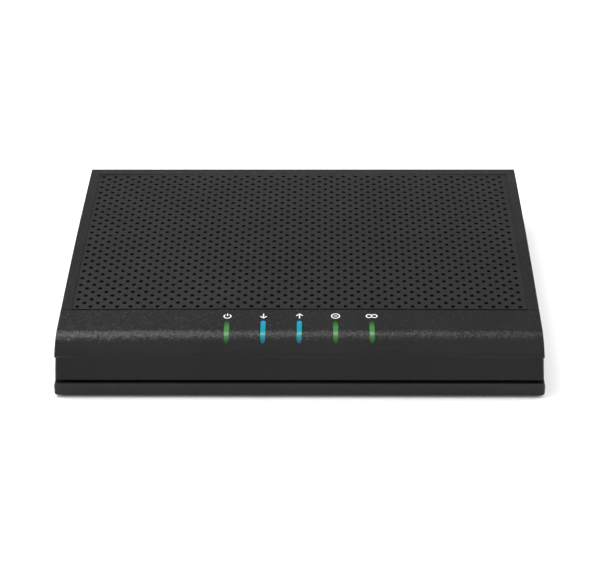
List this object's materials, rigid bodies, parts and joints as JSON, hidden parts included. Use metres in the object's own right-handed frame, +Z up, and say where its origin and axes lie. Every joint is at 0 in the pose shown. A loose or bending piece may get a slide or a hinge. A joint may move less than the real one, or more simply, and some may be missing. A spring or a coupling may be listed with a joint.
{
  "type": "cable modem",
  "caption": "Low rectangular cable modem with a crowned perforated top, a rounded front bezel with light pipes, a shadow groove, and rear coaxial, network and power sockets.",
  "frame": {"origin": "centre of the bounding box, at the underside of the rubber feet", "axes": "+X to the right seen from the front, +Y towards the rear panel, +Z up; the front bezel faces -Y"},
  "size_m": [0.18, 0.1456, 0.0252],
  "materials": {
    "housing": "black moulded plastic with a fine spark-eroded grain",
    "rear_panel": "black moulded plastic, smoother than the housing",
    "foot_rubber": "soft black rubber",
    "screw_steel": "zinc-plated",
    "pipe_green": "clear green light pipe, polished",
    "pipe_blue": "clear blue light pipe, polished",
    "white_plastic": "plain white plastic",
    "board_laminate": "green solder mask",
    "shield_tin": "tinned sheet",
    "chip_plastic": "black moulding compound",
    "thermal_pad": "grey silicone pad",
    "heat_sink": "extruded, anodised",
    "capacitor_sleeve": "heat-shrunk sleeve",
    "ferrite": "dark ferrite",
    "connector_metal": "nickel plating",
    "contact_gold": "gold-plated contact",
    "port_plastic": "black connector plastic"
  },
  "bodies": {
    "case": {"base_cover": "housing", "body_shell": "housing", "top_cover": "housing", "vent_panel": "housing", "front_bezel": "housing", "rear_panel": "rear_panel", "foot_front_left": "foot_rubber", "foot_rear_left": "foot_rubber", "foot_front_right": "foot_rubber", "foot_rear_right": "foot_rubber", "case_screw_front_left": "screw_steel", "case_screw_rear_left": "screw_steel", "case_screw_front_right": "screw_steel", "case_screw_rear_right": "screw_steel", "board_screw_front_left": "screw_steel", "board_screw_rear_left": "screw_steel", "board_screw_front_right": "screw_steel", "board_screw_rear_right": "screw_steel", "light_pipe_power": "pipe_green", "light_pipe_downstream": "pipe_blue", "light_pipe_upstream": "pipe_blue", "light_pipe_online": "pipe_green", "light_pipe_link": "pipe_green", "led_power": "white_plastic", "led_downstream": "white_plastic", "led_upstream": "white_plastic", "led_online": "white_plastic", "led_link": "white_plastic", "main_board": "board_laminate", "tuner_shield": "shield_tin", "modem_chip": "chip_plastic", "thermal_pad": "thermal_pad", "heat_sink": "heat_sink", "memory_chip": "chip_plastic", "flash_chip": "chip_plastic", "ethernet_transformer": "chip_plastic", "clock_crystal": "shield_tin", "filter_capacitor_a": "capacitor_sleeve", "filter_capacitor_b": "capacitor_sleeve", "filter_capacitor_c": "capacitor_sleeve", "power_inductor": "ferrite", "coax_body": "connector_metal", "coax_insulator": "white_plastic", "coax_contact": "contact_gold", "coax_washer": "connector_metal", "coax_nut": "connector_metal", "ethernet_jack": "port_plastic", "ethernet_contacts": "contact_gold", "power_jack": "port_plastic", "power_jack_pin": "connector_metal", "reset_switch": "port_plastic"},
    "reset_button": {"reset_plunger": "white_plastic"}
  },
  "joints": [
    {"name": "reset_press", "type": "slide", "parent": "case", "child": "reset_button", "axis": [0, -1, 0], "range_m": [0, 0.0003], "stiffness_N_per_m": 2000, "springref_m": -0.0005}
  ]
}
